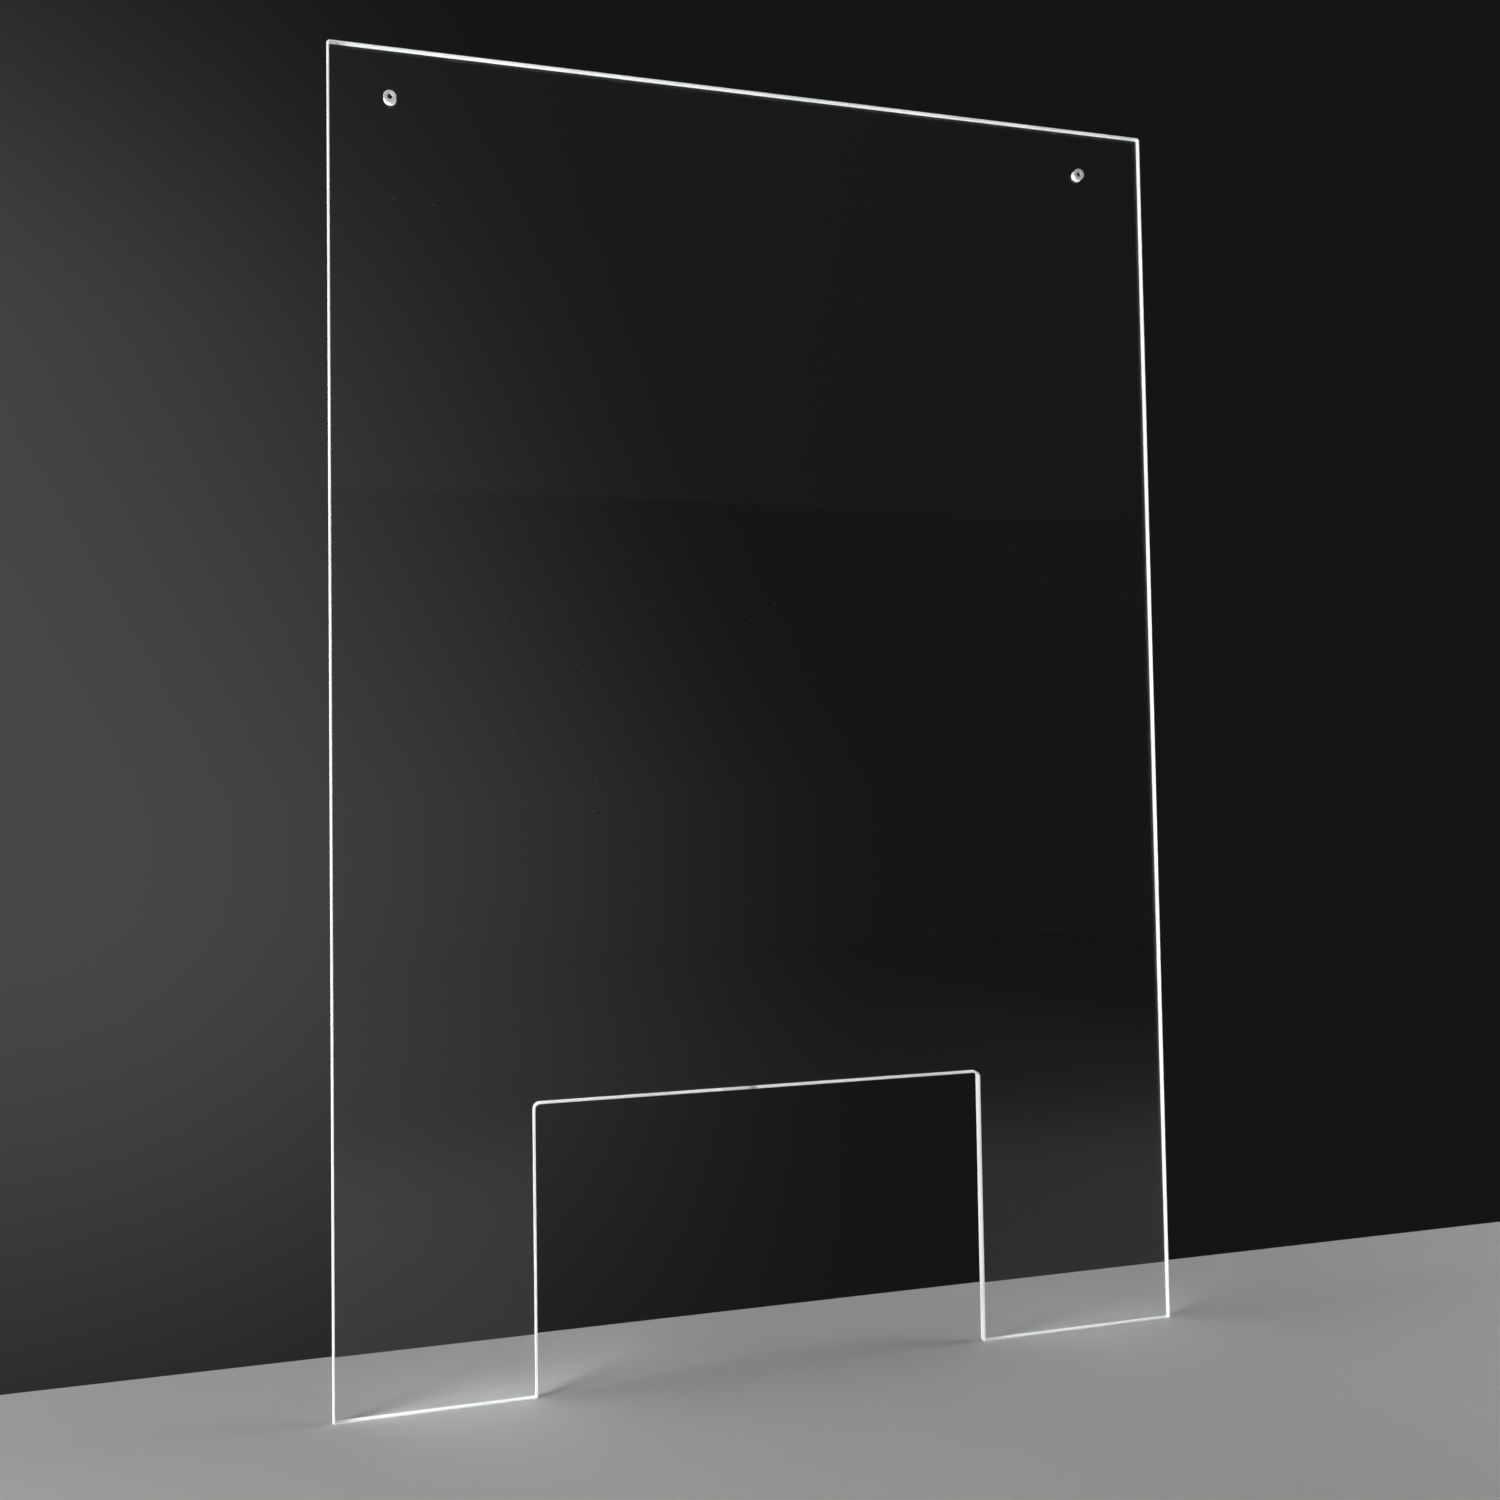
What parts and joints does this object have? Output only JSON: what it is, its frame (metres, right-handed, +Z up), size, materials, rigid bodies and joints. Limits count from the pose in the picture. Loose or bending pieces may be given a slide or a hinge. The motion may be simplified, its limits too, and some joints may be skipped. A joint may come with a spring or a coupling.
{
  "type": "hanging sneeze guard",
  "caption": "Flat clear acrylic guard sheet with an open-bottomed pass-through between its feet and a bushed hanging hole near each top corner.",
  "frame": {"origin": "centre of the box that the guard fills, at the level of its feet", "axes": "+Z up along the sheet's height, +X to the right seen from the front, -Y out of the front face"},
  "size_m": [0.6096, 0.0076, 0.9144],
  "materials": {
    "clear_acrylic": "clear polished faces with milled, frosted edges",
    "natural_nylon": "satin, off-white"
  },
  "bodies": {
    "root": {"sheet": "clear_acrylic", "left_bushing": "natural_nylon", "right_bushing": "natural_nylon"}
  },
  "joints": []
}
